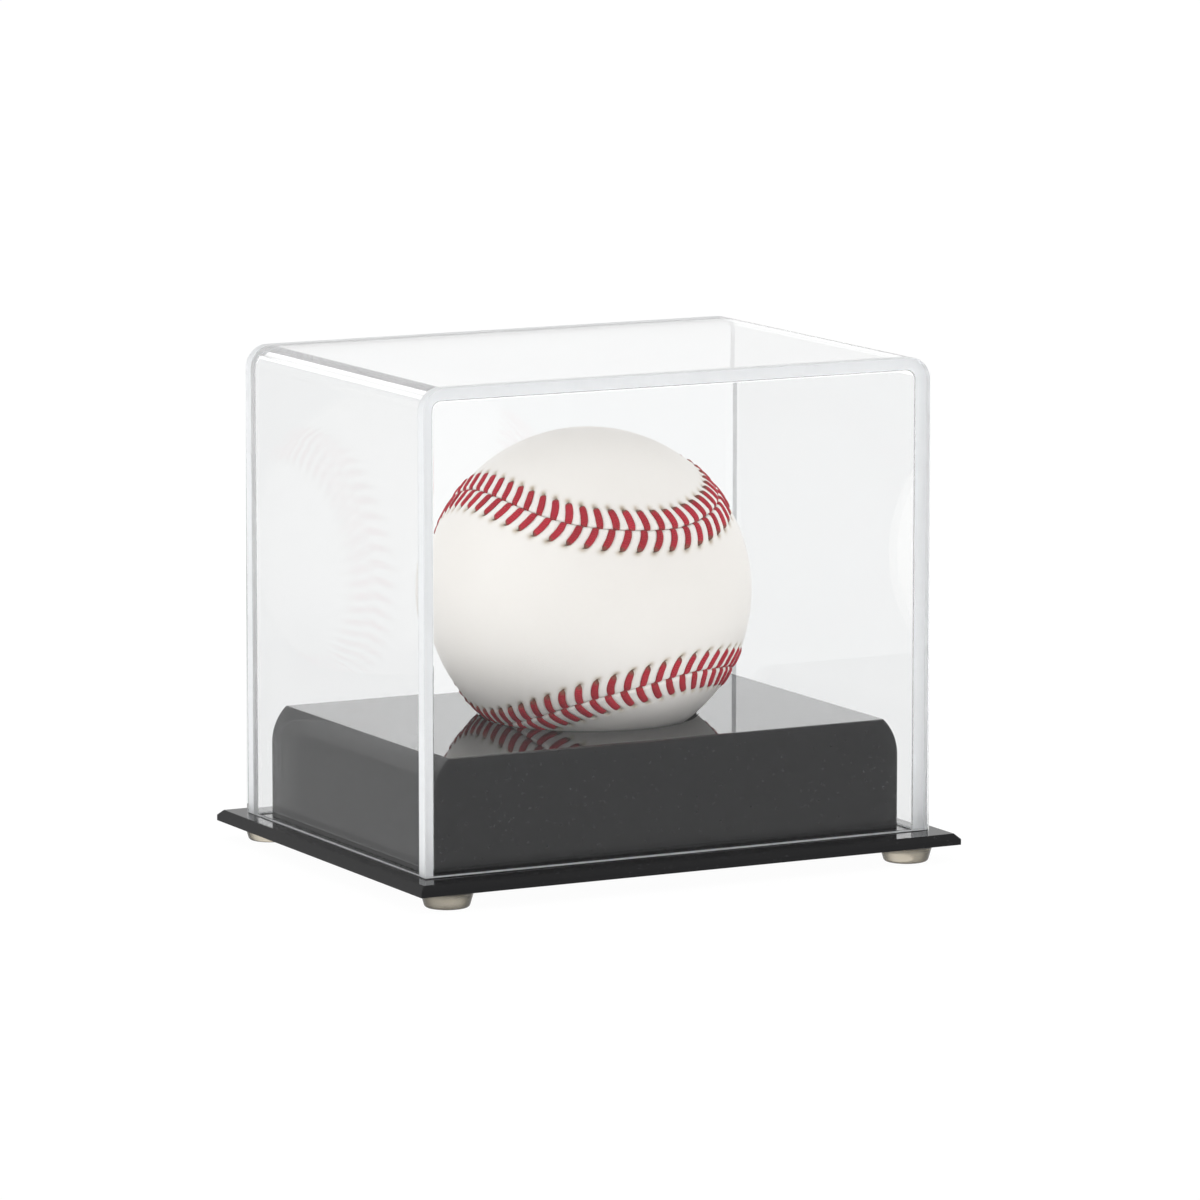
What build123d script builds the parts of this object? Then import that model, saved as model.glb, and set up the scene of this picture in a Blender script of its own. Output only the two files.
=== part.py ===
from build123d import *
import math
import os

# A small display case for one baseball: a black base plate on four bumper feet, a black riser with
# a round seat, a clear five-sided cover that lifts straight off, and the ball itself.
# Millimetres, +Z up. The origin is the middle of the footprint, on the surface the feet stand on.

# Feet and the discs that stick them on
FOOT_HEIGHT = 3.8
FOOT_TOP_RADIUS = 6.3
FOOT_BOTTOM_RADIUS = 5.2
FOOT_RIM_ROUNDING = 0.9
FOOT_INSET_X = 10.0
FOOT_INSET_Y = 7.6
ADHESIVE_THICKNESS = 0.2
ADHESIVE_RADIUS = 5.7

# Acrylic sheet
SHEET = 3.0

# Base plate
PLATE_WIDTH = 136.0
PLATE_DEPTH = 105.6
PLATE_THICKNESS = 2.5
PLATE_BEVEL = 1.2

# Riser, a bent sheet closed by a front and a back panel. A bend is the radius of the arc that the
# wall turns in on, and how far below the top it starts.
RISER_WIDTH = 117.0
RISER_DEPTH = 80.4
RISER_HEIGHT = 25.4
RISER_BEND = (11.1, 8.2)
RISER_EDGE_ROUNDING = 1.5
SEAT_RADIUS = 24.7
SEAT_CHAMFER = 0.5

# Cover, made the same way
COVER_WIDTH = 127.0
COVER_DEPTH = 91.0
COVER_HEIGHT = 108.0
COVER_BEND = (5.2, 5.2)
COVER_EDGE_ROUNDING = 0.3

# Ball
BALL_RADIUS = 37.0
LEATHER_THICKNESS = 1.3
THREAD_WIDTH = 1.2
THREAD_RISE = 0.3
SEAT_CLEARANCE = 0.12

# The ball's layers, outwards, as outer radii
CORK_RADIUS = 10.3
BLACK_RUBBER_RADIUS = 14.7
RED_RUBBER_RADIUS = 17.5
THICK_WOOL_RADIUS = 28.6
WHITE_WOOL_RADIUS = 31.6
THIN_WOOL_RADIUS = 34.4
GASKET_THICKNESS = 0.8

# The seam: how near it comes to the poles, how far it swings, and a small correction of its bends
SEAM_POLE_ANGLE = 0.457
SEAM_SWING = 0.365
SEAM_BEND = 0.007
SEAM_POINTS = 48
SEAM_CUT_MARGIN = 2.0
BALL_TURNS = (92.5, 4.0, -166.2)

# The stitching: pairs of stitches along the seam, from a hole beside the seam to its middle
STITCH_PAIRS = 108
STITCH_HOLE_OFFSET = 4.7
STITCH_MIDDLE_OFFSET = 0.45
STITCH_SLANT = 1.6
STITCH_STAGGER = 0.25
STITCH_GAP = 0.01
POINTS_PER_STITCH = 40
DIRECTION_STEP = 0.01

# Heights that follow from the sizes above
PLATE_BOTTOM = FOOT_HEIGHT + ADHESIVE_THICKNESS
PLATE_TOP = PLATE_BOTTOM + PLATE_THICKNESS
RISER_TOP = PLATE_TOP + RISER_HEIGHT
WINDING_RADIUS = BALL_RADIUS - LEATHER_THICKNESS
STITCH_LENGTH = math.hypot(STITCH_HOLE_OFFSET - STITCH_MIDDLE_OFFSET, STITCH_SLANT)
STITCHED_RADIUS = math.hypot(BALL_RADIUS + STITCH_GAP + THREAD_RISE, STITCH_LENGTH / 2)
BALL_ABOVE_RISER = math.sqrt((STITCHED_RADIUS + SEAT_CLEARANCE) ** 2 - SEAT_RADIUS**2)
BALL_CENTRE = Vector(0, 0, RISER_TOP + BALL_ABOVE_RISER)


def save(shape, node):
    """Write one named piece as a STEP file."""
    shape.label = node
    export_step(shape, f"parts/{node}.step")


def arch(width, height, bend):
    """A face standing on its lower edge, whose two walls turn in along an arc to meet the top."""
    bend_radius, bend_drop = bend
    wall = width / 2
    top_end = wall - bend_radius + math.sqrt(bend_radius**2 - bend_drop**2)
    shoulder = height - bend_drop
    outline = Polyline((-wall, shoulder), (-wall, 0), (wall, 0), (wall, shoulder))
    outline += TangentArc((wall, shoulder), (top_end, height), tangent=(0, 1))
    outline += Line((top_end, height), (-top_end, height))
    outline += TangentArc((-wall, shoulder), (-top_end, height), tangent=(0, 1))
    return make_face(outline)


def bent_sheet(width, depth, height, bend):
    """One sheet bent down at both ends: a left wall, a top and a right wall."""
    outer = arch(width, height, bend)
    inner = arch(width - 2 * SHEET, height - SHEET, (bend[0] - SHEET, bend[1] - SHEET))
    return extrude(Plane.XZ * (outer - inner), amount=depth / 2 - SHEET, both=True)


def end_panel(width, depth, height, bend, rounding, side):
    """A flat panel over the bent sheet's cut edges; side is -1 for the front and 1 for the back."""
    blank = extrude(Plane.XZ * arch(width, height, bend), amount=SHEET / 2, both=True)
    outer_face = blank.faces().sort_by(Axis.Y)[-1 if side > 0 else 0]
    standing_edge = outer_face.edges().sort_by(Axis.Z)[0]
    rounded_edges = [edge for edge in outer_face.edges() if edge != standing_edge]
    return Pos(0, side * (depth - SHEET) / 2, 0) * fillet(rounded_edges, rounding)


def base_plate():
    plate = Box(PLATE_WIDTH, PLATE_DEPTH, PLATE_THICKNESS, align=(Align.CENTER, Align.CENTER, Align.MIN))
    plate = chamfer(plate.faces().sort_by(Axis.Z)[-1].edges(), PLATE_BEVEL)
    return Pos(0, 0, PLATE_BOTTOM) * plate


def foot():
    """A soft bumper, wider at the top, with a rounded rim underneath."""
    standing = (Align.CENTER, Align.CENTER, Align.MIN)
    body = Cone(FOOT_BOTTOM_RADIUS, FOOT_TOP_RADIUS, FOOT_HEIGHT, align=standing)
    return fillet(body.edges().sort_by(Axis.Z)[0], FOOT_RIM_ROUNDING)


def foot_places():
    """Where the four feet stand, by name."""
    out_x = PLATE_WIDTH / 2 - FOOT_INSET_X
    out_y = PLATE_DEPTH / 2 - FOOT_INSET_Y
    return {
        "front_left": (-out_x, -out_y),
        "front_right": (out_x, -out_y),
        "back_left": (-out_x, out_y),
        "back_right": (out_x, out_y),
    }


def adhesive_discs():
    disc = Cylinder(ADHESIVE_RADIUS, ADHESIVE_THICKNESS, align=(Align.CENTER, Align.CENTER, Align.MIN))
    return Compound([Pos(x, y, FOOT_HEIGHT) * disc for x, y in foot_places().values()])


def riser_wrap():
    """The riser's bent sheet, with the round hole that the ball sits in."""
    sheet = bent_sheet(RISER_WIDTH, RISER_DEPTH, RISER_HEIGHT, RISER_BEND)
    seat = Pos(0, 0, RISER_HEIGHT) * Cylinder(SEAT_RADIUS, RISER_HEIGHT)
    lead_in = Pos(0, 0, RISER_HEIGHT - SEAT_CHAMFER / 2) * Cone(
        SEAT_RADIUS, SEAT_RADIUS + SEAT_CHAMFER, SEAT_CHAMFER
    )
    return Pos(0, 0, PLATE_TOP) * (sheet - seat - lead_in)


def shell(inner_radius, outer_radius):
    return Sphere(outer_radius) - Sphere(inner_radius)


def black_rubber_half(side):
    """Half of the black shell round the cork; side is 1 above the gasket and -1 below it."""
    reach = 2 * BLACK_RUBBER_RADIUS
    keep = Pos(0, 0, side * (reach + GASKET_THICKNESS) / 2) * Box(reach, reach, reach)
    return shell(CORK_RADIUS, BLACK_RUBBER_RADIUS) & keep


def gasket():
    return Cylinder(BLACK_RUBBER_RADIUS, GASKET_THICKNESS) & shell(CORK_RADIUS, BLACK_RUBBER_RADIUS)


def seam_point(turn, radius):
    """A point of the seam; turn runs from 0 to 4 pi round the closed curve."""
    polar = math.pi / 2 - (math.pi / 2 - SEAM_POLE_ANGLE) * math.cos(turn) + SEAM_BEND * math.cos(3 * turn)
    around = turn / 2 + SEAM_SWING * math.sin(2 * turn)
    point = Vector(
        radius * math.sin(polar) * math.cos(around),
        radius * math.sin(polar) * math.sin(around),
        radius * math.cos(polar),
    )
    for axis, angle in zip((Axis.X, Axis.Y, Axis.Z), BALL_TURNS):
        point = point.rotate(axis, angle)
    return point


def seam_ring(radius):
    points = [seam_point(4 * math.pi * i / SEAM_POINTS, radius) for i in range(SEAM_POINTS)]
    return Edge.make_spline(points, periodic=True)


def leather_panels():
    """The two leather panels: a thin shell parted along the seam."""
    inner_ring = seam_ring(WINDING_RADIUS - SEAM_CUT_MARGIN)
    outer_ring = seam_ring(BALL_RADIUS + SEAM_CUT_MARGIN)
    blade = Face.make_surface_from_curves(inner_ring, outer_ring)
    return shell(WINDING_RADIUS, BALL_RADIUS).split(blade, Keep.ALL)


def evenly_spaced_turns(count, first):
    """Values of turn that part the seam into equal lengths; first is the first one's share of a step."""
    fine = POINTS_PER_STITCH * count
    points = [seam_point(4 * math.pi * i / fine, BALL_RADIUS) for i in range(fine + 1)]
    travelled = [0.0]
    for before, after in zip(points, points[1:]):
        travelled.append(travelled[-1] + (after - before).length)
    turns = []
    i = 0
    for k in range(count):
        while travelled[i] < travelled[-1] * (k + first) / count:
            i += 1
        turns.append(4 * math.pi * i / fine)
    return turns


def thread_piece():
    """One stitch: a low half-round bar lying along X, its flat underside at Z = 0."""
    half = THREAD_WIDTH / 2
    outline = Polyline((half, 0), (-half, 0)) + ThreePointArc((-half, 0), (0, THREAD_RISE), (half, 0))
    return extrude(Plane.YZ * make_face(outline), amount=STITCH_LENGTH / 2, both=True)


def stitch_plane(turn, side):
    """Where one stitch lies: its middle touches the leather, and its X axis runs along the thread."""
    out = seam_point(turn, 1)
    along = (seam_point(turn + DIRECTION_STEP, 1) - seam_point(turn - DIRECTION_STEP, 1)).normalized()
    across = out.cross(along) * side
    hole = along * -STITCH_SLANT / 2 + across * STITCH_HOLE_OFFSET
    middle = along * STITCH_SLANT / 2 + across * STITCH_MIDDLE_OFFSET
    normal = (out * BALL_RADIUS + (hole + middle) / 2).normalized()
    return Plane(normal * (BALL_RADIUS + STITCH_GAP), x_dir=hole - middle, z_dir=normal)


def stitching():
    piece = thread_piece()
    stitches = []
    for side, first in ((-1, 0), (1, STITCH_STAGGER)):
        for turn in evenly_spaced_turns(STITCH_PAIRS, first):
            stitches.append(stitch_plane(turn, side).location * piece)
    return Compound(stitches)


def save_base():
    save(base_plate(), "base_plate")
    save(riser_wrap(), "riser_wrap")
    for side, name in ((-1, "front"), (1, "back")):
        panel = end_panel(RISER_WIDTH, RISER_DEPTH, RISER_HEIGHT, RISER_BEND, RISER_EDGE_ROUNDING, side)
        save(Pos(0, 0, PLATE_TOP) * panel, f"riser_{name}_panel")
    for name, (x, y) in foot_places().items():
        save(Pos(x, y, 0) * foot(), f"foot_{name}")
    save(adhesive_discs(), "foot_adhesive_discs")


def save_cover():
    wrap = bent_sheet(COVER_WIDTH, COVER_DEPTH, COVER_HEIGHT, COVER_BEND)
    save(Pos(0, 0, PLATE_TOP) * wrap, "cover_wrap")
    for side, name in ((-1, "front"), (1, "back")):
        panel = end_panel(COVER_WIDTH, COVER_DEPTH, COVER_HEIGHT, COVER_BEND, COVER_EDGE_ROUNDING, side)
        save(Pos(0, 0, PLATE_TOP) * panel, f"cover_{name}_panel")


def save_ball():
    pieces = {
        "ball_cork_core": Sphere(CORK_RADIUS),
        "ball_upper_black_rubber": black_rubber_half(1),
        "ball_lower_black_rubber": black_rubber_half(-1),
        "ball_rubber_gasket": gasket(),
        "ball_red_rubber": shell(BLACK_RUBBER_RADIUS, RED_RUBBER_RADIUS),
        "ball_thick_grey_winding": shell(RED_RUBBER_RADIUS, THICK_WOOL_RADIUS),
        "ball_white_winding": shell(THICK_WOOL_RADIUS, WHITE_WOOL_RADIUS),
        "ball_thin_grey_winding": shell(WHITE_WOOL_RADIUS, THIN_WOOL_RADIUS),
        "ball_cotton_winding": shell(THIN_WOOL_RADIUS, WINDING_RADIUS),
        "ball_stitching": stitching(),
    }
    for letter, panel in zip("ab", leather_panels()):
        pieces[f"ball_leather_panel_{letter}"] = panel
    for node, piece in pieces.items():
        save(Pos(*BALL_CENTRE) * piece, node)


os.makedirs("parts", exist_ok=True)
save_base()
save_cover()
save_ball()
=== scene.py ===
import math
import random

import bpy
import numpy as np
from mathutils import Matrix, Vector
from mathutils.geometry import delaunay_2d_cdt


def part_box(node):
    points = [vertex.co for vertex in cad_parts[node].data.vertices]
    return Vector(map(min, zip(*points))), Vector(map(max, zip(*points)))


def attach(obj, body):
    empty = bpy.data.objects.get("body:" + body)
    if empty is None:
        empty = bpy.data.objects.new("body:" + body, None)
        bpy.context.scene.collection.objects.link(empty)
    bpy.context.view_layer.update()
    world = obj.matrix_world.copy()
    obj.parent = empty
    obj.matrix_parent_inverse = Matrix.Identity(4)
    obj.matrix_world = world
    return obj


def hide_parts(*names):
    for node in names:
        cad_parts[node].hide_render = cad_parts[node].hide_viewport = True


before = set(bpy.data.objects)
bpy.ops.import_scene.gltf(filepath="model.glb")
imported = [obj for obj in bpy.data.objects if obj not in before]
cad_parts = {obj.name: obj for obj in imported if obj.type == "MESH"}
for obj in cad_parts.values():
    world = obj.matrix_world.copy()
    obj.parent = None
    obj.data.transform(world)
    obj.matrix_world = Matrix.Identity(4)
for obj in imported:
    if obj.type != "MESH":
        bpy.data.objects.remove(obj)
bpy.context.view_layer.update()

MM = 0.001

# ---------------------------------------------------------------------------
# Sizes and places, read from the frame
# ---------------------------------------------------------------------------

_, PLATE_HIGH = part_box("base_plate")
WRAP_LOW, WRAP_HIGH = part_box("cover_wrap")
FRONT_LOW, FRONT_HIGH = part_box("cover_front_panel")
BACK_LOW, BACK_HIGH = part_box("cover_back_panel")
WINDING_LOW, WINDING_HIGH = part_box("ball_cotton_winding")
LEATHER_LOW, LEATHER_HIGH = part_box("ball_leather_panel_a")

PLATE_TOP = PLATE_HIGH.z
SHEET = FRONT_HIGH.y - FRONT_LOW.y
BALL_CENTRE = np.array((WINDING_LOW + WINDING_HIGH) / 2)
BALL_RADIUS = (LEATHER_HIGH.z - LEATHER_LOW.z) / 2
WINDING_RADIUS = (WINDING_HIGH.z - WINDING_LOW.z) / 2

# Cover
COVER_BEND_RADIUS = 5.2 * MM
COVER_EDGE_EASE = 0.3 * MM
BEND_STEPS = 12
EASED_ANGLE = 40
COVER_SMOOTH_ANGLE = 50
JOINT_INSET = 0.12 * MM
JOINT_THICKNESS = 0.05 * MM

# Seam of the ball, the same curve as in the CAD model
SEAM_POLE_ANGLE = 0.457
SEAM_SWING = 0.365
SEAM_BEND = 0.007
BALL_TURNS = (92.5, 4.0, -166.2)
SEAM_SAMPLES = 20001
DIRECTION_STEP = 1e-4

# Stitching, in millimetres along and across the seam
STITCH_PAIRS = 108
COLUMNS_PER_STITCH = 10
HOLE_OFFSET = 4.75
STITCH_SLANT = 1.6
SLANT_REACH = 1.15
STAGGER = 0.25
THREAD_HALF_WIDTH = 0.84
THREAD_HALF_HEIGHT = 0.38

# ---------------------------------------------------------------------------
# Helpers
# ---------------------------------------------------------------------------


def smooth_step(low, high, value):
    """0 below low, 1 above high, and a soft S between them."""
    x = np.clip((value - low) / (high - low), 0.0, 1.0)
    return x * x * (3 - 2 * x)


def make_piece(name, points, faces, material, body, smooth=True):
    """A mesh object in the row's frame that rides on a body."""
    mesh = bpy.data.meshes.new(name)
    mesh.from_pydata([tuple(p) for p in points], [], [tuple(f) for f in faces])
    mesh.validate()
    mesh.materials.append(material)
    mesh.polygons.foreach_set("use_smooth", [smooth] * len(mesh.polygons))
    mesh.update()
    piece = bpy.data.objects.new(name, mesh)
    bpy.context.scene.collection.objects.link(piece)
    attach(piece, body)
    return piece


def add_attribute(piece, name, values):
    """One number for each vertex, which the materials read by name."""
    layer = piece.data.attributes.new(name, "FLOAT", "POINT")
    layer.data.foreach_set("value", np.asarray(values, np.float32))


class Nodes:
    """A short way to write a material's node tree."""

    def __init__(self, name, slot_settings=None):
        self.material = bpy.data.materials.new(name)
        self.material.use_nodes = True
        self.tree = self.material.node_tree
        self.shader = self.tree.nodes["Principled BSDF"]
        for socket, value in (slot_settings or {}).items():
            self.shader.inputs[socket].default_value = value

    def add(self, kind, settings=None, **inputs):
        node = self.tree.nodes.new(kind)
        for name, value in (settings or {}).items():
            setattr(node, name, value)
        for name, value in inputs.items():
            socket = node.inputs[name.replace("_", " ")]
            self.feed(socket, value)
        return node

    def feed(self, socket, value):
        if isinstance(value, bpy.types.NodeSocket):
            self.tree.links.new(value, socket)
        else:
            socket.default_value = value

    def set(self, socket, value):
        self.feed(self.shader.inputs[socket], value)

    def place(self):
        return self.add("ShaderNodeTexCoord").outputs["Object"]

    def stretched(self, scale, rotation=(0, 0, 0)):
        mapping = self.add("ShaderNodeMapping", Vector=self.place(), Scale=scale, Rotation=rotation)
        return mapping.outputs["Vector"]

    def noise(self, scale, detail=3.0, roughness=0.5, vector=None):
        vector = vector or self.place()
        node = self.add("ShaderNodeTexNoise", Vector=vector, Scale=scale, Detail=detail, Roughness=roughness)
        return node.outputs["Fac"]

    def ramp(self, value, low, high, to_low=0.0, to_high=1.0):
        node = self.add("ShaderNodeMapRange", Value=value)
        node.inputs["From Min"].default_value = low
        node.inputs["From Max"].default_value = high
        self.feed(node.inputs["To Min"], to_low)
        self.feed(node.inputs["To Max"], to_high)
        return node.outputs["Result"]

    def math(self, operation, a, b=0.0):
        node = self.tree.nodes.new("ShaderNodeMath")
        node.operation = operation
        self.feed(node.inputs[0], a)
        self.feed(node.inputs[1], b)
        return node.outputs[0]

    def mix(self, factor, a, b):
        node = self.tree.nodes.new("ShaderNodeMix")
        node.data_type = "RGBA"
        self.feed(node.inputs["Factor"], factor)
        self.feed(node.inputs["A"], a)
        self.feed(node.inputs["B"], b)
        return node.outputs["Result"]

    def attribute(self, name):
        return self.add("ShaderNodeAttribute", {"attribute_name": name}).outputs["Fac"]

    def bump(self, height, distance, strength=1.0, normal=None):
        node = self.add("ShaderNodeBump", Height=height, Distance=distance, Strength=strength)
        if normal is not None:
            self.feed(node.inputs["Normal"], normal)
        return node.outputs["Normal"]


# ---------------------------------------------------------------------------
# Materials
# ---------------------------------------------------------------------------


def black_acrylic():
    """Polished black sheet with hairline scratches and a little dust haze."""
    n = Nodes("black_acrylic", {"IOR": 1.49, "Specular IOR Level": 0.5})
    haze = n.noise(45.0, 4.0, 0.6)
    dust = n.noise(900.0, 2.0, 0.7)
    tint = n.mix(n.ramp(dust, 0.62, 0.75), (0.006, 0.006, 0.007, 1), (0.022, 0.022, 0.024, 1))
    n.set("Base Color", tint)
    scratch_a = n.noise(60.0, 2.0, 0.5, n.stretched((1.0, 18.0, 18.0), (0, 0, 0.4)))
    scratch_b = n.noise(60.0, 2.0, 0.5, n.stretched((18.0, 1.0, 18.0), (0.3, 0, -0.5)))
    lines = n.math("MULTIPLY", n.ramp(scratch_a, 0.6, 0.72), n.ramp(scratch_b, 0.45, 0.7))
    n.set("Roughness", n.math("ADD", n.ramp(haze, 0.3, 0.8, 0.02, 0.06), n.math("MULTIPLY", lines, 0.12)))
    n.set("Normal", n.bump(lines, 0.02 * MM, 0.25))
    return n.material


def clear_acrylic():
    """Clear cast sheet, faintly hazed by handling."""
    n = Nodes("clear_acrylic", {"IOR": 1.49, "Transmission Weight": 1.0})
    haze = n.noise(28.0, 3.0, 0.55)
    n.set("Base Color", n.mix(haze, (0.985, 0.992, 0.994, 1), (0.994, 0.997, 0.998, 1)))
    n.set("Roughness", n.ramp(haze, 0.55, 0.8, 0.0, 0.012))
    return n.material


def frosted_edge_and_painted_light():
    """The saw-cut edges of the clear sheets: whitish partly from the cutter, and partly painted light, white
    where light runs along inside the sheets and comes out at their edges and glued joints.
    """
    n = Nodes("frosted_edge_and_painted_light", {"IOR": 1.49, "Specular IOR Level": 0.2})
    cuts = n.noise(180.0, 3.0, 0.6, n.stretched((6.0, 6.0, 0.6)))
    n.set("Base Color", n.mix(cuts, (0.90, 0.915, 0.93, 1), (0.97, 0.975, 0.98, 1)))
    n.set("Roughness", n.ramp(cuts, 0.3, 0.7, 0.45, 0.65))
    n.set("Transmission Weight", n.ramp(cuts, 0.3, 0.7, 0.1, 0.25))
    return n.material


def foot_rubber():
    """Clear soft plastic, yellowed and slightly cloudy, with a fine moulded skin."""
    n = Nodes("foot_rubber", {"IOR": 1.5, "Subsurface Weight": 0.15})
    n.shader.inputs["Subsurface Radius"].default_value = (1.0, 0.8, 0.55)
    n.shader.inputs["Subsurface Scale"].default_value = 0.002
    cloud = n.noise(160.0, 3.0, 0.5)
    n.set("Base Color", n.mix(cloud, (0.46, 0.42, 0.34, 1), (0.60, 0.55, 0.46, 1)))
    n.set("Transmission Weight", n.ramp(cloud, 0.3, 0.7, 0.78, 0.88))
    n.set("Roughness", n.ramp(cloud, 0.3, 0.7, 0.14, 0.22))
    n.set("Normal", n.bump(n.noise(1200.0, 2.0), 0.01 * MM, 0.2))
    return n.material


def leather():
    """White ball leather: fine pores, uneven tan, a brown stain round the holes, and painted shade, dark
    brown, in the holes and down the seam.
    """
    n = Nodes("leather", {"IOR": 1.45, "Specular IOR Level": 0.35, "Sheen Weight": 0.05})
    cloud = n.noise(38.0, 4.0, 0.6)
    blotch = n.noise(120.0, 3.0, 0.6)
    tan = n.mix(cloud, (0.875, 0.84, 0.795, 1), (0.915, 0.885, 0.85, 1))
    stain = n.math("MULTIPLY", n.attribute("stain"), n.ramp(n.noise(700.0, 3.0, 0.6), 0.25, 0.6, 0.45, 1.0))
    stained = n.mix(n.math("MULTIPLY", stain, 0.85), tan, (0.40, 0.29, 0.15, 1))
    # painted shade: the holes and the seam are darkened in the base colour
    painted_shade = n.mix(n.attribute("painted_shade"), stained, (0.10, 0.065, 0.04, 1))
    n.set("Base Color", painted_shade)
    n.set("Roughness", n.ramp(blotch, 0.3, 0.7, 0.42, 0.56))
    cells = n.add("ShaderNodeTexVoronoi", {"feature": "DISTANCE_TO_EDGE"}, Vector=n.place(), Scale=1500.0)
    creases = n.ramp(cells.outputs["Distance"], 0.0, 0.12)
    pores = n.ramp(n.noise(2600.0, 2.0, 0.5), 0.3, 0.6)
    grain = n.math("ADD", n.math("MULTIPLY", creases, 0.6), n.math("MULTIPLY", pores, 0.4))
    n.set("Normal", n.bump(grain, 0.03 * MM, 0.35, n.bump(blotch, 0.1 * MM, 0.2)))
    return n.material


def red_thread():
    """Waxed cotton thread: twisted strands across its length, with painted shade, a darker red, in the folds
    between them.
    """
    n = Nodes("red_thread", {"IOR": 1.45, "Specular IOR Level": 0.15, "Sheen Weight": 0.02})
    along = n.attribute("along")
    around = n.attribute("around")
    twist = n.math("ADD", n.math("MULTIPLY", along, 9.0), n.math("MULTIPLY", around, 2.0))
    strands = n.math("ABSOLUTE", n.math("SINE", n.math("MULTIPLY", twist, math.pi)))
    fibres = n.noise(3500.0, 3.0, 0.7)
    light = n.mix(n.attribute("shade"), (0.42, 0.008, 0.022, 1), (0.53, 0.014, 0.036, 1))
    # painted shade: the folds between the strands get a darker red
    painted_shade = n.mix(n.ramp(strands, 0.0, 0.5), (0.22, 0.004, 0.012, 1), light)
    worn = n.mix(n.ramp(fibres, 0.66, 0.85, 0.0, 0.25), painted_shade, (0.62, 0.14, 0.15, 1))
    # painted shade, dark brown, where the thread sinks into its hole and into the seam
    n.set("Base Color", n.mix(n.attribute("painted_end_shade"), worn, (0.16, 0.085, 0.05, 1)))
    n.set("Roughness", n.ramp(fibres, 0.3, 0.7, 0.45, 0.65))
    height = n.math("ADD", strands, n.math("MULTIPLY", fibres, 0.4))
    n.set("Normal", n.bump(height, 0.08 * MM, 0.7))
    return n.material


def yarn(name, dark, light, threads):
    """Wound yarn on a hidden layer, with painted shade, a darker colour, in the grooves between its
    windings.
    """
    n = Nodes(name)
    wind_a = n.add("ShaderNodeTexWave", Vector=n.stretched((1, 1, 1), (0.5, 0.9, 0.2)), Scale=threads)
    wind_b = n.add("ShaderNodeTexWave", Vector=n.stretched((1, 1, 1), (2.1, 0.3, 1.4)), Scale=threads)
    strands = n.math("MAXIMUM", wind_a.outputs["Fac"], wind_b.outputs["Fac"])
    # painted shade: the colour darkens where the windings dip, as the bump does
    n.set("Base Color", n.mix(strands, dark, light))
    n.set("Roughness", n.ramp(n.noise(900.0), 0.3, 0.7, 0.8, 0.95))
    n.set("Normal", n.bump(strands, 0.4 * MM, 0.8))
    return n.material


def grainy(name, dark, light, scale, rough):
    """Cork, rubber or adhesive: speckled, with a fine uneven surface."""
    n = Nodes(name)
    speckle = n.noise(scale, 4.0, 0.7)
    n.set("Base Color", n.mix(n.ramp(speckle, 0.35, 0.65), dark, light))
    n.set("Roughness", n.ramp(speckle, 0.3, 0.7, rough - 0.08, rough + 0.08))
    n.set("Normal", n.bump(speckle, 0.1 * MM, 0.5))
    return n.material


# ---------------------------------------------------------------------------
# The cover: one clear shell, because its glued joints are clear right through
# ---------------------------------------------------------------------------


def arch_outline(half_width, bottom, top, radius):
    """Points round an arch, from its lower left foot, over the top, to its lower right foot."""
    points = [(-half_width, bottom)]
    for centre_x, start in ((-half_width + radius, math.pi), (half_width - radius, math.pi / 2)):
        for i in range(BEND_STEPS + 1):
            angle = start - math.pi / 2 * i / BEND_STEPS
            points.append((centre_x + radius * math.cos(angle), top - radius + radius * math.sin(angle)))
    points.append((half_width, bottom))
    return points


def rings_of(count, rings):
    """Vertex numbers of several outlines with count points each, one list for each outline."""
    return [list(range(i * count, (i + 1) * count)) for i in range(rings)]


def cover_shell_faces(count):
    """Faces between four outlines: the outer arch at the front and back, then the inner one."""
    outer_front, outer_back, inner_front, inner_back = rings_of(count, 4)
    faces = [outer_front[::-1], outer_back, inner_front, inner_back[::-1]]
    for i in range(count - 1):
        faces.append((outer_front[i], outer_front[i + 1], outer_back[i + 1], outer_back[i]))
        faces.append((inner_front[i], inner_back[i], inner_back[i + 1], inner_front[i + 1]))
    for near, far in ((outer_front, inner_front), (inner_back, outer_back)):
        faces.append((near[0], near[-1], far[-1], far[0]))
    faces.append((outer_front[0], inner_front[0], inner_back[0], outer_back[0]))
    faces.append((inner_front[-1], outer_front[-1], outer_back[-1], inner_back[-1]))
    return faces


def ease_edges(piece):
    """Small bevels on the sharp edges, and shading that keeps the sheets' faces flat."""
    bevel = piece.modifiers.new("eased_edges", "BEVEL")
    bevel.width = COVER_EDGE_EASE
    bevel.segments = 2
    bevel.limit_method = "ANGLE"
    bevel.angle_limit = math.radians(EASED_ANGLE)
    apply_modifiers(piece)
    smooth_by_angle(piece, COVER_SMOOTH_ANGLE)
    weight = piece.modifiers.new("flat_faces", "WEIGHTED_NORMAL")
    weight.keep_sharp = True
    weight.weight = 100
    apply_modifiers(piece)


def cover_shell(material):
    """Outer and inner arches joined by the cut edge that stands on the plate."""
    half_width = (WRAP_HIGH.x - WRAP_LOW.x) / 2
    bottom, top = WRAP_LOW.z, WRAP_HIGH.z
    outer = arch_outline(half_width, bottom, top, COVER_BEND_RADIUS)
    inner = arch_outline(half_width - SHEET, bottom, top - SHEET, COVER_BEND_RADIUS - SHEET)
    points = []
    for outline, front, back in ((outer, FRONT_LOW.y, BACK_HIGH.y), (inner, FRONT_HIGH.y, BACK_LOW.y)):
        for y in (front, back):
            points += [(x, y, z) for x, z in outline]
    faces = cover_shell_faces(len(outer))
    piece = make_piece("cover_shell", points, faces, material, "cover", smooth=False)
    ease_edges(piece)
    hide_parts("cover_wrap", "cover_front_panel", "cover_back_panel")


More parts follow.
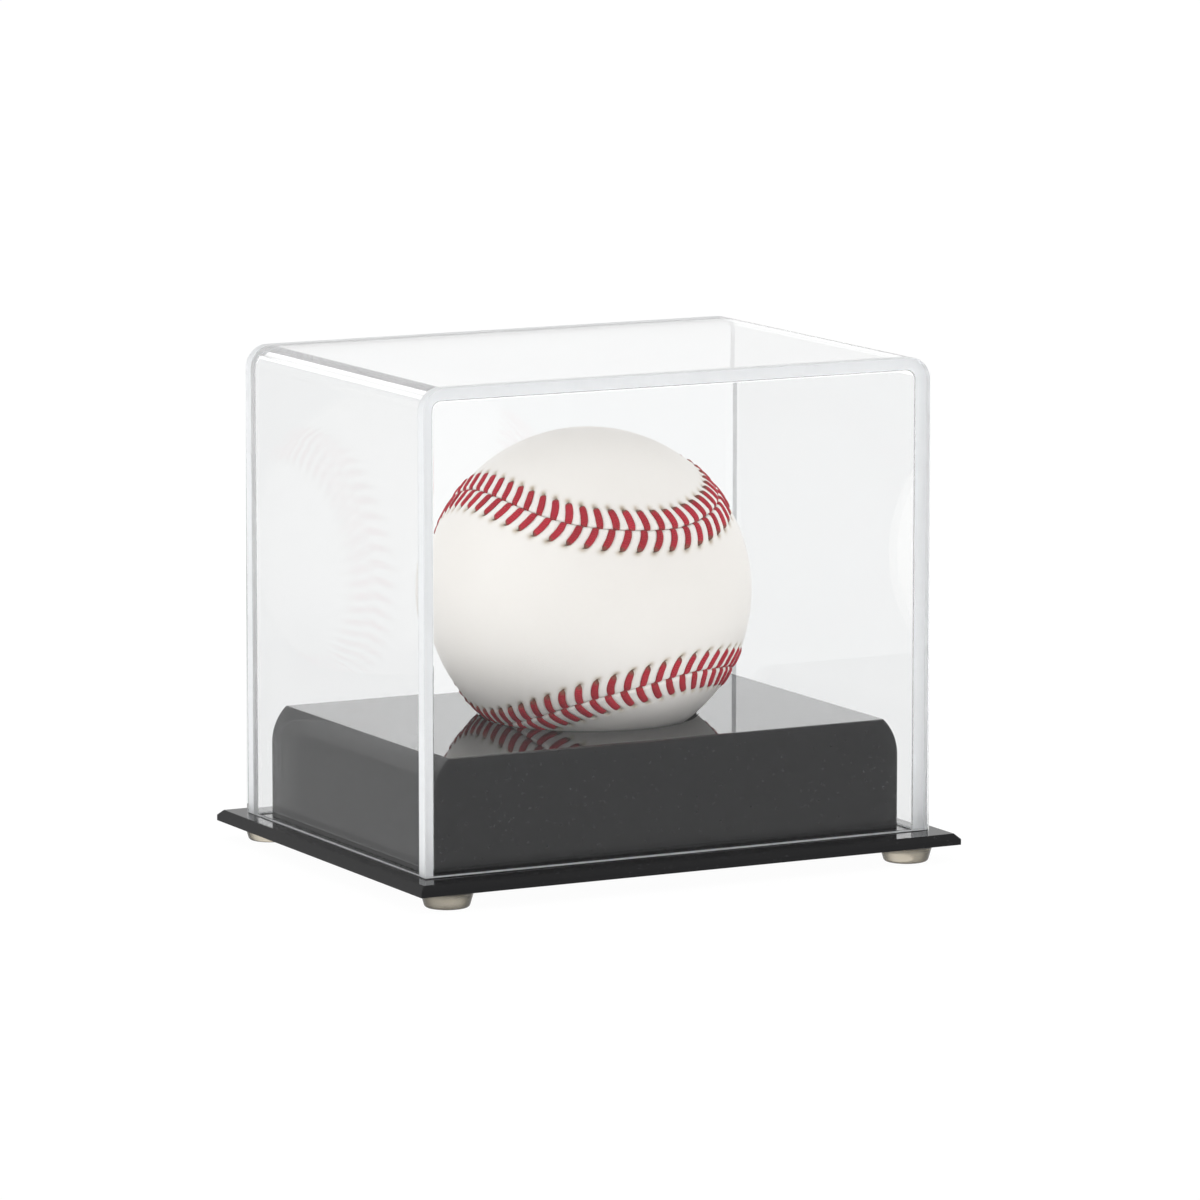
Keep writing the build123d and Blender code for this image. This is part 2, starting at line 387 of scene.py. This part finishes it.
def arch_strip(name, y, depth, width, material):
    """A hoop just inside the cover's outer surface: depth is its size along Y and width its size inwards."""
    half_width = (WRAP_HIGH.x - WRAP_LOW.x) / 2 - JOINT_INSET
    top = WRAP_HIGH.z - JOINT_INSET
    bottom = WRAP_LOW.z + JOINT_INSET
    outer = arch_outline(half_width, bottom, top, COVER_BEND_RADIUS - JOINT_INSET)
    inner = arch_outline(half_width - width, bottom, top - width, COVER_BEND_RADIUS - JOINT_INSET - width)
    count = len(outer)
    points = []
    for outline in (outer, inner):
        for side in (-0.5, 0.5):
            points += [(x, y + side * depth, z) for x, z in outline]
    outer_near, outer_far, inner_near, inner_far = rings_of(count, 4)
    faces = []
    for i in range(count - 1):
        faces.append((outer_near[i], outer_near[i + 1], inner_near[i + 1], inner_near[i]))
        faces.append((outer_far[i], inner_far[i], inner_far[i + 1], outer_far[i + 1]))
        faces.append((outer_near[i], outer_far[i], outer_far[i + 1], outer_near[i + 1]))
        faces.append((inner_near[i], inner_near[i + 1], inner_far[i + 1], inner_far[i]))
    for i in (0, count - 1):
        end = (outer_near[i], inner_near[i], inner_far[i], outer_far[i])
        faces.append(end if i == 0 else end[::-1])
    make_piece(name, points, faces, material, "cover", smooth=False)


def foot_strip(name, low, high, material):
    """A thin strip along one cut edge that the cover stands on, between two corners on the plate."""
    (x0, y0), (x1, y1) = low, high
    z0 = WRAP_LOW.z + JOINT_INSET
    z1 = z0 + JOINT_THICKNESS
    points = [(x, y, z) for z in (z0, z1) for x, y in ((x0, y0), (x1, y0), (x1, y1), (x0, y1))]
    faces = [(3, 2, 1, 0), (4, 5, 6, 7)]
    for i in range(4):
        j = (i + 1) % 4
        faces.append((i, j, j + 4, i + 4))
    make_piece(name, points, faces, material, "cover", smooth=False)


def cover_edges(material):
    """The sawn edges of the sheets, which show white, partly frosted and partly painted light for light
    piped along inside the sheets: joints, the panels' rims and the lower edges.
    """
    joint_width = SHEET - 2 * JOINT_INSET
    rim_depth = SHEET - 2 * JOINT_INSET - JOINT_THICKNESS
    for side, joint, name in ((-1, FRONT_HIGH.y, "front"), (1, BACK_LOW.y, "back")):
        # painted light: white hoops at the joints and rims stand in for light piped along inside the sheets
        arch_strip(f"cover_{name}_joint", joint, JOINT_THICKNESS, joint_width, material)
        arch_strip(f"cover_{name}_rim", joint + side * SHEET / 2, rim_depth, JOINT_THICKNESS, material)
    out_x = (WRAP_HIGH.x - WRAP_LOW.x) / 2 - 2 * JOINT_INSET
    in_x = (WRAP_HIGH.x - WRAP_LOW.x) / 2 - SHEET + JOINT_INSET
    front = (FRONT_LOW.y + JOINT_INSET, FRONT_HIGH.y - JOINT_INSET)
    back = (BACK_LOW.y + JOINT_INSET, BACK_HIGH.y - JOINT_INSET)
    between = (FRONT_HIGH.y + JOINT_INSET, BACK_LOW.y - JOINT_INSET)
    for name, (x0, x1), (y0, y1) in (
        ("front", (-out_x, out_x), front),
        ("back", (-out_x, out_x), back),
        ("left", (-out_x, -in_x), between),
        ("right", (in_x, out_x), between),
    ):
        foot_strip(f"cover_{name}_foot", (x0, y0), (x1, y1), material)


def apply_modifiers(piece):
    graph = bpy.context.evaluated_depsgraph_get()
    piece.data = bpy.data.meshes.new_from_object(piece.evaluated_get(graph))
    piece.modifiers.clear()


def smooth_by_angle(piece, degrees):
    """Smooth shading, with edges sharper than the angle left crisp."""
    mesh = piece.data
    mesh.polygons.foreach_set("use_smooth", [True] * len(mesh.polygons))
    mesh.set_sharp_from_angle(angle=math.radians(degrees))


# ---------------------------------------------------------------------------
# Feet
# ---------------------------------------------------------------------------

FOOT_SIDES = 64
FOOT_SMOOTH_ANGLE = 60
# (share of the top radius, share of the height) up the foot's outside, from the dished underside
FOOT_PROFILE = [
    (0.0, 0.09), (0.35, 0.08), (0.56, 0.035), (0.64, 0.004), (0.69, 0.0), (0.755, 0.025), (0.80, 0.09),
    (0.823, 0.19), (0.847, 0.33), (0.898, 0.62), (0.945, 0.88), (0.972, 0.955), (0.985, 0.985), (0.97, 1.0),
    (0.0, 1.0),
]


def foot(name, material):
    """A lathe-turned bumper with a dished underside and a soft rim."""
    low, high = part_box(name)
    centre = (low + high) / 2
    radius = (high.x - low.x) / 2
    height = high.z - low.z
    rings = FOOT_PROFILE[1:-1]
    points = [(centre.x, centre.y, low.z + FOOT_PROFILE[0][1] * height)]
    for share, rise in rings:
        for i in range(FOOT_SIDES):
            angle = 2 * math.pi * i / FOOT_SIDES
            x = centre.x + share * radius * math.cos(angle)
            y = centre.y + share * radius * math.sin(angle)
            points.append((x, y, low.z + rise * height))
    points.append((centre.x, centre.y, high.z))
    faces = []
    for i in range(FOOT_SIDES):
        j = (i + 1) % FOOT_SIDES
        faces.append((0, 1 + j, 1 + i))
        for k in range(len(rings) - 1):
            a, b = 1 + k * FOOT_SIDES, 1 + (k + 1) * FOOT_SIDES
            faces.append((a + i, a + j, b + j, b + i))
        last = 1 + (len(rings) - 1) * FOOT_SIDES
        faces.append((last + i, last + j, len(points) - 1))
    piece = make_piece(name.replace("foot", "bumper"), points, faces, material, "base")
    smooth_by_angle(piece, FOOT_SMOOTH_ANGLE)
    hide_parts(name)


# ---------------------------------------------------------------------------
# The ball
# ---------------------------------------------------------------------------


def turn_about(axis, degrees):
    """A 3 x 3 rotation about X, Y or Z."""
    c, s = math.cos(math.radians(degrees)), math.sin(math.radians(degrees))
    if axis == 0:
        return np.array([[1, 0, 0], [0, c, -s], [0, s, c]])
    if axis == 1:
        return np.array([[c, 0, s], [0, 1, 0], [-s, 0, c]])
    return np.array([[c, -s, 0], [s, c, 0], [0, 0, 1]])


def seam_points(turns):
    """Points of the seam on a ball of radius 1; turns run from 0 to 4 pi."""
    polar = math.pi / 2 - (math.pi / 2 - SEAM_POLE_ANGLE) * np.cos(turns) + SEAM_BEND * np.cos(3 * turns)
    around = turns / 2 + SEAM_SWING * np.sin(2 * turns)
    points = np.stack([np.sin(polar) * np.cos(around), np.sin(polar) * np.sin(around), np.cos(polar)])
    for axis, degrees in enumerate(BALL_TURNS):
        points = turn_about(axis, degrees) @ points
    return points.T


class Seam:
    """The seam as equal steps along its length, with the direction along it and the direction beside it."""

    def __init__(self):
        fine = np.linspace(0, 4 * math.pi, SEAM_SAMPLES)
        points = seam_points(fine)
        steps = np.linalg.norm(np.diff(points, axis=0), axis=1)
        self.travelled = np.concatenate([[0], np.cumsum(steps)])
        self.fine = fine
        self.length = self.travelled[-1] * BALL_RADIUS / MM
        self.pitch = self.length / STITCH_PAIRS

    def at(self, along):
        """Point, forward and sideways directions at a distance along the seam, in millimetres."""
        share = np.mod(np.asarray(along, float) / self.length, 1.0)
        turns = np.interp(share * self.travelled[-1], self.travelled, self.fine)
        point = seam_points(turns)
        forward = seam_points(turns + DIRECTION_STEP) - seam_points(turns - DIRECTION_STEP)
        forward /= np.linalg.norm(forward, axis=1, keepdims=True)
        return point, forward, np.cross(point, forward)

    def place(self, along, across, side):
        """Unit directions from the ball's centre for points beside the seam; across is in millimetres."""
        point, _, sideways = self.at(along)
        angle = (np.asarray(across, float) * MM / BALL_RADIUS)[:, None]
        return point * np.cos(angle) + sideways * side * np.sin(angle)


def slant_at(across):
    """How far forward a stitch has come at a distance from the seam."""
    return STITCH_SLANT * (1 - np.clip(across / HOLE_OFFSET, 0, SLANT_REACH) ** 2)


def stitch_phase(seam, along, across, side):
    """Distance along the seam, in millimetres, to the middle of the nearest stitch."""
    start = STAGGER * seam.pitch * (1 if side > 0 else 0)
    offset = along - start - slant_at(across)
    return offset - seam.pitch * np.round(offset / seam.pitch)


# Relief of the leather, in millimetres. A pair gives where a slope starts and where it ends.
STITCHED_BAND = (5.3, 4.2)
TRENCH_DEPTH = 0.26
RIB_SLOPE = (0.45, 1.15)
RIB_HEIGHT = 0.44
SWELL_BAND = (7.2, 5.4)
SWELL_HEIGHT = 0.05
GROOVE_SLOPE = (0.8, 0.0)
GROOVE_DEPTH = 0.34
GROOVE_SHARPNESS = 1.4
HOLE_DEPTH = 0.62
HOLE_SIZE = (0.5, 0.5)
HOLE_BEYOND = 0.2
HALO_SIZE = (0.78, 0.8)
HALO_BEYOND = 0.45
SCUFF_WIDTH = 0.16
SCUFF_STAIN = 0.25
# Painted shade: how strongly the holes and the middle of the seam are darkened in colour
HOLE_DARKENING = (0.45, 0.9)
SEAM_DARKENING = (0.26, 0.1)
SEAM_DARKNESS = 0.1


def spot(gap, across, size, beyond):
    """A soft round mark, 1 at its middle, that lies beyond the end of each stitch."""
    return np.exp(-((gap / size[0]) ** 2) - ((across - HOLE_OFFSET - beyond) / size[1]) ** 2)


def leather_relief(seam, along, across, side):
    """Height of the leather above the round ball, its stain, and the painted shade of its holes and seam."""
    gap = np.abs(stitch_phase(seam, along, across, side))
    in_rows = smooth_step(*STITCHED_BAND, across)
    height = in_rows * (-TRENCH_DEPTH + RIB_HEIGHT * smooth_step(*RIB_SLOPE, gap))
    height += SWELL_HEIGHT * smooth_step(*SWELL_BAND, across) * (1 - in_rows)
    height -= GROOVE_DEPTH * smooth_step(*GROOVE_SLOPE, across) ** GROOVE_SHARPNESS
    hole = spot(gap, across, HOLE_SIZE, HOLE_BEYOND)
    height -= HOLE_DEPTH * hole
    scuff = np.exp(-(((gap - THREAD_HALF_WIDTH) / SCUFF_WIDTH) ** 2)) * in_rows * SCUFF_STAIN
    stain = np.clip(spot(gap, across, HALO_SIZE, HALO_BEYOND) + scuff, 0, 1)
    # painted shade: a dark colour in each hole and down the middle of the seam
    seam_shadow = SEAM_DARKNESS * smooth_step(*SEAM_DARKENING, across)
    painted_shade = np.clip(smooth_step(*HOLE_DARKENING, hole) + seam_shadow, 0, 1)
    return height, stain, painted_shade


# Distances from the seam at which the rows of points lie
ROWS = np.concatenate([[0.1, 0.28, 0.5, 0.75], np.arange(1.05, 5.75, 0.33), [6.1, 6.6, 7.2]])
CAP_SPACING = 1.4
CAP_MARGIN = 0.7
LINING_SPACING = 4.0
LINING_MARGIN = 2.0
LINING_RISE = 0.05
LEATHER_SMOOTH_ANGLE = 70

# Spreading points: the area that each takes, as a share of its spacing squared, how many places of
# the seam they are measured from, and the smallest lengths that count
AREA_SHARE = 0.87
SEAM_CHECKS = 1500
NEARLY_UPRIGHT = 0.9
TINY = 1e-9
MERGE_DISTANCE = 1e-7


def even_directions(spacing):
    """Unit directions spread evenly over the ball, about spacing millimetres apart."""
    count = int(4 * math.pi * (BALL_RADIUS / MM) ** 2 / (spacing**2 * AREA_SHARE))
    i = np.arange(count) + 0.5
    polar = np.arccos(1 - 2 * i / count)
    around = math.pi * (1 + 5**0.5) * i
    return np.stack([np.sin(polar) * np.cos(around), np.sin(polar) * np.sin(around), np.cos(polar)], axis=1)


def inside_panel(directions, seam, side, margin):
    """Which directions lie on one side of the seam, at least margin millimetres from it."""
    along = np.linspace(0, seam.length, SEAM_CHECKS, endpoint=False)
    point, _, sideways = seam.at(along)
    nearest = np.argmax(directions @ point.T, axis=1)
    on_side = np.einsum("ij,ij->i", directions, sideways[nearest]) * side > 0
    away = np.arccos(np.clip(np.einsum("ij,ij->i", directions, point[nearest]), -1, 1)) * BALL_RADIUS / MM
    return directions[on_side & (away > margin)]


def fill_loop(loop, inner, centre):
    """Triangles over a closed loop and the points inside it, by a flat map round the centre."""
    reference = np.array([0.0, 0.0, 1.0]) if abs(centre[2]) < NEARLY_UPRIGHT else np.array([1.0, 0.0, 0.0])
    right = np.cross(reference, centre)
    right /= np.linalg.norm(right)
    up = np.cross(centre, right)
    every = np.concatenate([loop, inner])
    angle = np.arccos(np.clip(every @ centre, -1, 1))
    flat = np.stack([every @ right, every @ up], axis=1)
    flat *= (angle / np.maximum(np.linalg.norm(flat, axis=1), TINY))[:, None]
    edges = [(i, (i + 1) % len(loop)) for i in range(len(loop))]
    _, _, faces, originals, _, _ = delaunay_2d_cdt([Vector(p) for p in flat], edges, [], 1, MERGE_DISTANCE)
    triangles = []
    for face in faces:
        a, b, c = (originals[v][0] for v in face)
        turned = np.dot(np.cross(every[b] - every[a], every[c] - every[a]), every[a]) < 0
        triangles.append((a, c, b) if turned else (a, b, c))
    return triangles


def sculpted_rows(seam, side):
    """Rows of directions beside the seam, and the leather's relief at each row."""
    columns = STITCH_PAIRS * COLUMNS_PER_STITCH
    along = np.linspace(0, seam.length, columns, endpoint=False)
    directions = []
    relief = []
    for across in ROWS:
        spread = np.full(columns, across)
        directions.append(seam.place(along, spread, side))
        relief.append(leather_relief(seam, along, spread, side))
    return directions, relief


def band(first, second, side):
    """Quads between two closed rows of vertices; side turns them to face outwards."""
    quads = []
    for i in range(len(first)):
        j = (i + 1) % len(first)
        quad = (first[i], first[j], second[j], second[i])
        quads.append(quad if side > 0 else quad[::-1])
    return quads


def leather_panel(name, seam, side, material):
    """One figure-eight cover: sculpted beside the seam, smooth across its middle, and lined inside."""
    directions, relief = sculpted_rows(seam, side)
    columns = len(directions[0])
    rows = rings_of(columns, len(directions))
    faces = []
    for near, far in zip(rows, rows[1:]):
        faces += band(near, far, side)
    cap = inside_panel(even_directions(CAP_SPACING), seam, side, ROWS[-1] + CAP_MARGIN)
    centre = cap.mean(axis=0)
    centre /= np.linalg.norm(centre)
    last_row = rows[-1][0]
    for triangle in fill_loop(directions[-1], cap, centre):
        faces.append([last_row + v for v in triangle])
    outside = np.concatenate(directions + [cap])
    heights, stains, painted_shades = np.concatenate(relief + [np.zeros((3, len(cap)))], axis=1)
    # the lining: the same edge at the winding, closed by a coarser sheet
    edge = directions[0]
    middle = inside_panel(even_directions(LINING_SPACING), seam, side, LINING_MARGIN)
    lining = np.concatenate([edge, middle])
    start = len(outside)
    for a, b, c in fill_loop(edge, middle, centre):
        faces.append((start + a, start + c, start + b))
    faces += band(rows[0], list(range(start, start + columns)), -side)
    lining_radii = np.full(len(lining), WINDING_RADIUS + LINING_RISE * MM)
    radii = np.concatenate([BALL_RADIUS + heights * MM, lining_radii])
    points = BALL_CENTRE + np.concatenate([outside, lining]) * radii[:, None]
    piece = make_piece(name, points, faces, material, "ball")
    blank = np.zeros(len(lining))
    add_attribute(piece, "stain", np.concatenate([stains, blank]))
    # painted shade of the holes and the seam, for the leather material
    add_attribute(piece, "painted_shade", np.concatenate([painted_shades, blank]))
    smooth_by_angle(piece, LEATHER_SMOOTH_ANGLE)
    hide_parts(matching_panel(centre))


def matching_panel(centre):
    """The CAD leather panel whose middle points the same way."""
    def likeness(node):
        corners = np.array([v.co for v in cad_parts[node].data.vertices]) - BALL_CENTRE
        return float(corners.mean(axis=0) @ centre)

    return max(("ball_leather_panel_a", "ball_leather_panel_b"), key=likeness)


THREAD_SIDES = 10
THREAD_SEED = 7
THREAD_WOBBLE = 0.12
THREAD_FATNESS = (0.94, 1.06)
# share of the way from the hole to the seam, rise of the middle above the ball, width share, height share
THREAD_STATIONS = [
    (-0.05, -0.80, 0.62, 0.80), (0.0, -0.32, 0.74, 0.90), (0.06, 0.0, 0.84, 1.0), (0.15, 0.10, 0.92, 1.0),
    (0.28, 0.12, 0.98, 1.0), (0.42, 0.12, 1.0, 1.0), (0.56, 0.12, 1.02, 1.0), (0.70, 0.10, 1.02, 1.0),
    (0.82, 0.05, 0.98, 1.0), (0.91, -0.06, 0.94, 1.0), (0.98, -0.28, 0.88, 0.95), (1.03, -0.65, 0.80, 0.85),
]


def stitch_points(seam, start, side, wobble, fat):
    """Rings of points round one thread, from its hole to the seam."""
    across = np.array([HOLE_OFFSET * (1 - share) for share, _, _, _ in THREAD_STATIONS])
    along = start + slant_at(across) + wobble * np.sin(np.clip(across / HOLE_OFFSET, 0, 1) * math.pi)
    spine = seam.place(along, across, side)
    points = []
    for out, ahead, (_, rise, width, height) in zip(spine, np.gradient(spine, axis=0), THREAD_STATIONS):
        beside = np.cross(ahead / np.linalg.norm(ahead), out)
        for j in range(THREAD_SIDES):
            angle = 2 * math.pi * j / THREAD_SIDES
            reach = beside * math.cos(angle) * THREAD_HALF_WIDTH * width * fat
            lift = out * math.sin(angle) * THREAD_HALF_HEIGHT * height
            points.append(BALL_CENTRE + out * (BALL_RADIUS + rise * MM) + (reach + lift) * MM)
    return points


def thread_faces(first):
    """A closed tube through one thread's rings; first is its first vertex."""
    faces = []
    for i in range(len(THREAD_STATIONS) - 1):
        a = first + i * THREAD_SIDES
        b = a + THREAD_SIDES
        for j in range(THREAD_SIDES):
            n = (j + 1) % THREAD_SIDES
            faces.append((a + j, b + j, b + n, a + n))
    last = first + (len(THREAD_STATIONS) - 1) * THREAD_SIDES
    faces.append([first + j for j in range(THREAD_SIDES)])
    faces.append([last + j for j in reversed(range(THREAD_SIDES))])
    return faces


def thread_end_shade(share):
    """How much painted shade the thread gets: most where it sinks into its hole, a little where it dives
    into the seam.
    """
    return smooth_step(0.14, 0.0, share) * 0.8 + smooth_step(0.9, 1.0, share) * 0.3


def stitches(seam, material):
    """All the red stitches: each leaves its hole, crosses the leather on a curve and dives into the seam."""
    chance = random.Random(THREAD_SEED)
    ring_count = len(THREAD_STATIONS)
    points, faces, shades = [], [], []
    for k in range(STITCH_PAIRS):
        for side in (-1, 1):
            start = seam.pitch * (k + (STAGGER if side > 0 else 0))
            wobble = chance.uniform(-THREAD_WOBBLE, THREAD_WOBBLE)
            fat = chance.uniform(*THREAD_FATNESS)
            shades += [chance.random()] * (ring_count * THREAD_SIDES)
            faces += thread_faces(len(points))
            points += stitch_points(seam, start, side, wobble, fat)
    piece = make_piece("ball_stitches", points, faces, material, "ball")
    threads = 2 * STITCH_PAIRS
    shares = np.repeat([share for share, _, _, _ in THREAD_STATIONS], THREAD_SIDES)
    add_attribute(piece, "around", np.tile(np.arange(THREAD_SIDES) / THREAD_SIDES, threads * ring_count))
    add_attribute(piece, "along", np.tile(shares, threads))
    add_attribute(piece, "shade", shades)
    # painted shade where each thread sinks into the leather
    add_attribute(piece, "painted_end_shade", np.tile(thread_end_shade(shares), threads))
    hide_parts("ball_stitching")


# ---------------------------------------------------------------------------
# CAD pieces that stay, with their materials
# ---------------------------------------------------------------------------


def dress(node, material):
    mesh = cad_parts[node].data
    mesh.materials.clear()
    mesh.materials.append(material)


def dress_cad_pieces(black):
    for node in ("base_plate", "riser_wrap", "riser_front_panel", "riser_back_panel"):
        dress(node, black)
    dress("foot_adhesive_discs", grainy("adhesive", (0.62, 0.6, 0.54, 1), (0.74, 0.72, 0.66, 1), 900.0, 0.4))
    dress("ball_cork_core", grainy("cork", (0.16, 0.09, 0.05, 1), (0.42, 0.28, 0.16, 1), 700.0, 0.85))
    black_rubber = grainy("black_rubber", (0.015, 0.015, 0.015, 1), (0.04, 0.04, 0.04, 1), 900.0, 0.7)
    red_rubber = grainy("red_rubber", (0.3, 0.03, 0.025, 1), (0.45, 0.06, 0.05, 1), 900.0, 0.65)
    grey_wool = yarn("grey_wool", (0.16, 0.155, 0.15, 1), (0.42, 0.41, 0.4, 1), 260.0)
    for node, material in {
        "ball_upper_black_rubber": black_rubber,
        "ball_lower_black_rubber": black_rubber,
        "ball_rubber_gasket": red_rubber,
        "ball_red_rubber": red_rubber,
        "ball_thick_grey_winding": grey_wool,
        "ball_white_winding": yarn("white_wool", (0.5, 0.47, 0.4, 1), (0.82, 0.8, 0.73, 1), 320.0),
        "ball_thin_grey_winding": grey_wool,
        "ball_cotton_winding": yarn("cotton", (0.55, 0.52, 0.45, 1), (0.86, 0.84, 0.78, 1), 480.0),
    }.items():
        dress(node, material)


# ---------------------------------------------------------------------------
# Floor, light and camera
# ---------------------------------------------------------------------------

FLOOR_REACH = 14.0
FLOOR_GLOW = 0.97
FLOOR_WHITE = 0.05

# A bright backdrop stands behind the object, and the rest of the room is dim. Polished faces show both.
BACKDROP_DIRECTION = (0.46, 0.89, 0.0)
BACKDROP_SPREAD = (0.66, 0.96)
BACKDROP_LIGHT = 0.68
BACKDROP_LIGHT_COVERED = 1.5
ROOM_REFLECTION = 0.42

# The even light that falls on matt surfaces in the open and under the clear cover
ROOM_LIGHT = 0.92
ROOM_LIGHT_COVERED = 1.46
TABLE_LIGHT = 0.85
TABLE_LIGHT_COVERED = 2.15
SOFTBOX_PLACE = (-0.35, -0.5, 1.3)
SOFTBOX_AIM = (0, 0, 0.05)
SOFTBOX_SIZE = (1.0, 0.8)
SOFTBOX_POWER = 0.8
LIGHT_BOUNCES = 48
DIFFUSE_BOUNCES = 4

CAMERA_AZIMUTH = -27.63
CAMERA_ELEVATION = 8.82
CAMERA_DISTANCE = 1.7314
CAMERA_AIM_ABOVE_PLATE = 0.052
CAMERA_LENS = 229.1
CAMERA_SHIFT = (0.0118, -0.0034)
CAMERA_SENSOR = 36.0
CAMERA_REACH = 100.0


def has_met(tree, kind):
    """1 once a light path has bounced off a surface of this kind, else 0."""
    path = tree.nodes.new("ShaderNodeLightPath")
    met = tree.nodes.new("ShaderNodeMath")
    met.operation = "MINIMUM"
    met.inputs[1].default_value = 1.0
    tree.links.new(path.outputs[kind + " Depth"], met.inputs[0])
    return met.outputs[0]


def open_or_covered(tree, in_the_open, covered):
    """One brightness for light that has met no clear sheet, another for light that has."""
    choice = tree.nodes.new("ShaderNodeMapRange")
    choice.inputs["To Min"].default_value = in_the_open
    choice.inputs["To Max"].default_value = covered
    tree.links.new(has_met(tree, "Transmission"), choice.inputs["Value"])
    return choice.outputs["Result"]


def floor():
    """A pale glowing table. Polished faces reflect the room below it instead, so it passes their rays."""
    r = FLOOR_REACH
    mesh = bpy.data.meshes.new("floor")
    mesh.from_pydata([(-r, -r, 0), (r, -r, 0), (r, r, 0), (-r, r, 0)], [], [(0, 1, 2, 3)])
    n = Nodes("floor", {"Roughness": 0.9, "Specular IOR Level": 0.0})
    n.set("Base Color", (FLOOR_WHITE, FLOOR_WHITE, FLOOR_WHITE, 1))
    n.set("Emission Color", (1, 1, 1, 1))
    on_matt = open_or_covered(n.tree, TABLE_LIGHT, TABLE_LIGHT_COVERED)
    n.set("Emission Strength", n.ramp(has_met(n.tree, "Diffuse"), 0.0, 1.0, FLOOR_GLOW, on_matt))
    clear = n.add("ShaderNodeBsdfTransparent")
    blend = n.add("ShaderNodeMixShader")
    matt_not_met = n.math("SUBTRACT", 1.0, has_met(n.tree, "Diffuse"))
    n.feed(blend.inputs[0], n.math("MULTIPLY", has_met(n.tree, "Glossy"), matt_not_met))
    n.tree.links.new(n.shader.outputs[0], blend.inputs[1])
    n.tree.links.new(clear.outputs[0], blend.inputs[2])
    n.tree.links.new(blend.outputs[0], n.tree.nodes["Material Output"].inputs["Surface"])
    mesh.materials.append(n.material)
    piece = bpy.data.objects.new("floor", mesh)
    bpy.context.scene.collection.objects.link(piece)


def world_light():
    """A dim room with a bright backdrop, and even light for everything matt."""
    world = bpy.data.worlds.new("studio")
    bpy.context.scene.world = world
    world.use_nodes = True
    tree = world.node_tree
    place = tree.nodes.new("ShaderNodeTexCoord")
    facing = tree.nodes.new("ShaderNodeVectorMath")
    facing.operation = "DOT_PRODUCT"
    facing.inputs[1].default_value = BACKDROP_DIRECTION
    tree.links.new(place.outputs["Generated"], facing.inputs[0])
    fade = tree.nodes.new("ShaderNodeMapRange")
    fade.interpolation_type = "SMOOTHSTEP"
    fade.inputs["From Min"].default_value, fade.inputs["From Max"].default_value = BACKDROP_SPREAD
    fade.inputs["To Min"].default_value = ROOM_REFLECTION
    tree.links.new(open_or_covered(tree, BACKDROP_LIGHT, BACKDROP_LIGHT_COVERED), fade.inputs["To Max"])
    tree.links.new(facing.outputs["Value"], fade.inputs["Value"])
    choose = tree.nodes.new("ShaderNodeMix")
    choose.data_type = "FLOAT"
    tree.links.new(has_met(tree, "Diffuse"), choose.inputs["Factor"])
    tree.links.new(fade.outputs["Result"], choose.inputs["A"])
    tree.links.new(open_or_covered(tree, ROOM_LIGHT, ROOM_LIGHT_COVERED), choose.inputs["B"])
    tree.links.new(choose.outputs["Result"], tree.nodes["Background"].inputs["Strength"])
    tree.nodes["Background"].inputs["Color"].default_value = (1, 1, 1, 1)


def light_paths():
    """Enough bounces for light to cross several sheets and run along inside them."""
    cycles = bpy.context.scene.cycles
    cycles.max_bounces = LIGHT_BOUNCES
    cycles.glossy_bounces = LIGHT_BOUNCES
    cycles.transmission_bounces = LIGHT_BOUNCES
    cycles.diffuse_bounces = DIFFUSE_BOUNCES


def softbox(name, place, aim, size, power):
    light = bpy.data.lights.new(name, "AREA")
    light.shape = "RECTANGLE"
    light.size, light.size_y = size
    light.energy = power
    lamp = bpy.data.objects.new(name, light)
    lamp.location = place
    lamp.rotation_mode = "QUATERNION"
    lamp.rotation_quaternion = (Vector(aim) - Vector(place)).to_track_quat("-Z", "Y")
    lamp.visible_camera = False
    bpy.context.scene.collection.objects.link(lamp)


def camera():
    data = bpy.data.cameras.new("camera")
    data.lens = CAMERA_LENS
    data.sensor_width = CAMERA_SENSOR
    data.shift_x, data.shift_y = CAMERA_SHIFT
    data.clip_end = CAMERA_REACH
    azimuth, elevation = math.radians(CAMERA_AZIMUTH), math.radians(CAMERA_ELEVATION)
    back = Vector((
        math.sin(azimuth) * math.cos(elevation),
        -math.cos(azimuth) * math.cos(elevation),
        math.sin(elevation),
    ))
    aim = Vector((0, 0, PLATE_TOP + CAMERA_AIM_ABOVE_PLATE))
    seat = bpy.data.objects.new("camera", data)
    seat.location = aim + back * CAMERA_DISTANCE
    seat.rotation_mode = "QUATERNION"
    seat.rotation_quaternion = (-back).to_track_quat("-Z", "Y")
    bpy.context.scene.collection.objects.link(seat)
    bpy.context.scene.camera = seat


# ---------------------------------------------------------------------------
# Build
# ---------------------------------------------------------------------------

camera()
floor()
world_light()
softbox("top_softbox", SOFTBOX_PLACE, SOFTBOX_AIM, SOFTBOX_SIZE, SOFTBOX_POWER)
light_paths()
bpy.context.scene.view_settings.view_transform = "Standard"

dress_cad_pieces(black_acrylic())
cover_shell(clear_acrylic())
cover_edges(frosted_edge_and_painted_light())
rubber = foot_rubber()
for corner in ("front_left", "front_right", "back_left", "back_right"):
    foot("foot_" + corner, rubber)
ball_seam = Seam()
ball_leather = leather()
leather_panel("ball_leather_cover_1", ball_seam, 1, ball_leather)
leather_panel("ball_leather_cover_2", ball_seam, -1, ball_leather)
stitches(ball_seam, red_thread())
